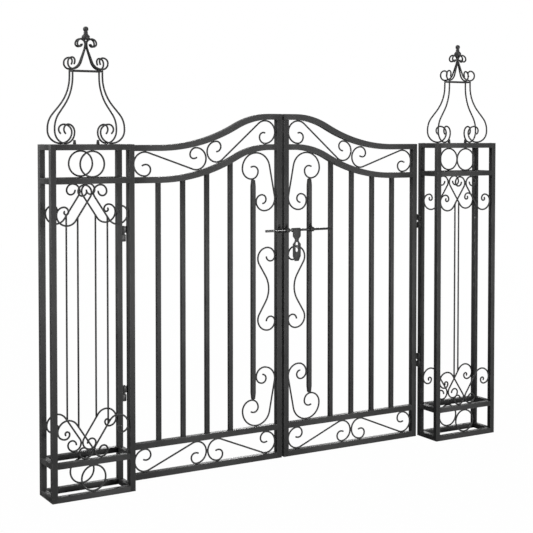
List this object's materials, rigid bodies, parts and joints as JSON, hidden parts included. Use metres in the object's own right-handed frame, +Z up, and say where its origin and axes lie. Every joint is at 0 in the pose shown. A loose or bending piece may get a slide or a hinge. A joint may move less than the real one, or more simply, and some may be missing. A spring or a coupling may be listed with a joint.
{
  "type": "wrought iron garden gate",
  "caption": "Double garden gate of black wrought iron with scrollwork, swept top rails, a sliding latch rod and two openwork pillars with scrolled crowns.",
  "frame": {"origin": "middle of the foot of the left pillar's outer front post, on the face that stands on the ground", "axes": "+X along the gate from the left pillar to the right one, +Y from the street side through the gate, +Z up"},
  "size_m": [1.2201, 0.086, 1.0164],
  "materials": {
    "tube_steel": "satin black powder coat on square steel tube",
    "wrought_rod": "satin black powder coat on bent round rod",
    "cast_finial": "satin black powder coat on a cast finial",
    "hinge_steel": "satin black powder coat on turned barrels",
    "latch_steel": "satin black powder coat on rod and flat steel"
  },
  "bodies": {
    "pillars": {"left_posts": "tube_steel", "left_face_rails": "tube_steel", "left_side_rails": "tube_steel", "left_rings": "wrought_rod", "left_front_scrolls": "wrought_rod", "left_back_scrolls": "wrought_rod", "left_crown_bearers": "tube_steel", "left_crown_rods": "wrought_rod", "left_crown_top": "wrought_rod", "left_finial": "cast_finial", "left_hinge_pins": "hinge_steel", "right_posts": "tube_steel", "right_face_rails": "tube_steel", "right_side_rails": "tube_steel", "right_rings": "wrought_rod", "right_front_scrolls": "wrought_rod", "right_back_scrolls": "wrought_rod", "right_crown_bearers": "tube_steel", "right_crown_rods": "wrought_rod", "right_crown_top": "wrought_rod", "right_finial": "cast_finial", "right_hinge_pins": "hinge_steel"},
    "left_leaf": {"left_leaf_stiles": "tube_steel", "left_leaf_swept_rails": "tube_steel", "left_leaf_bottom_rails": "tube_steel", "left_leaf_bars": "tube_steel", "left_leaf_spear_bar": "tube_steel", "left_leaf_arch_scrolls": "wrought_rod", "left_leaf_base_scrolls": "wrought_rod", "left_leaf_side_scrolls": "wrought_rod", "left_leaf_knuckles": "hinge_steel", "latch_keeper": "latch_steel"},
    "right_leaf": {"right_leaf_stiles": "tube_steel", "right_leaf_swept_rails": "tube_steel", "right_leaf_bottom_rails": "tube_steel", "right_leaf_bars": "tube_steel", "right_leaf_spear_bar": "tube_steel", "right_leaf_arch_scrolls": "wrought_rod", "right_leaf_base_scrolls": "wrought_rod", "right_leaf_side_scrolls": "wrought_rod", "right_leaf_knuckles": "hinge_steel", "latch_guides": "latch_steel"},
    "latch_rod": {"latch_rod": "latch_steel"},
    "latch_hasp": {"latch_hasp": "latch_steel"}
  },
  "joints": [
    {"name": "left_leaf_hinge", "type": "hinge", "parent": "pillars", "child": "left_leaf", "pos_m": [0.19275, 0.07375, 0.381], "axis": [0, 0, 1], "range_deg": [0, 90]},
    {"name": "right_leaf_hinge", "type": "hinge", "parent": "pillars", "child": "right_leaf", "pos_m": [1.01475, 0.05975, 0.381], "axis": [0, 0, 1], "range_deg": [0, 90]},
    {"name": "latch_rod_slide", "type": "slide", "parent": "right_leaf", "child": "latch_rod", "axis": [1, 0, 0], "range_m": [0, 0.055]},
    {"name": "latch_hasp_swing", "type": "hinge", "parent": "right_leaf", "child": "latch_hasp", "pos_m": [0.63775, 0.05575, 0.553], "axis": [-1, 0, 0], "range_deg": [0, 90]}
  ]
}
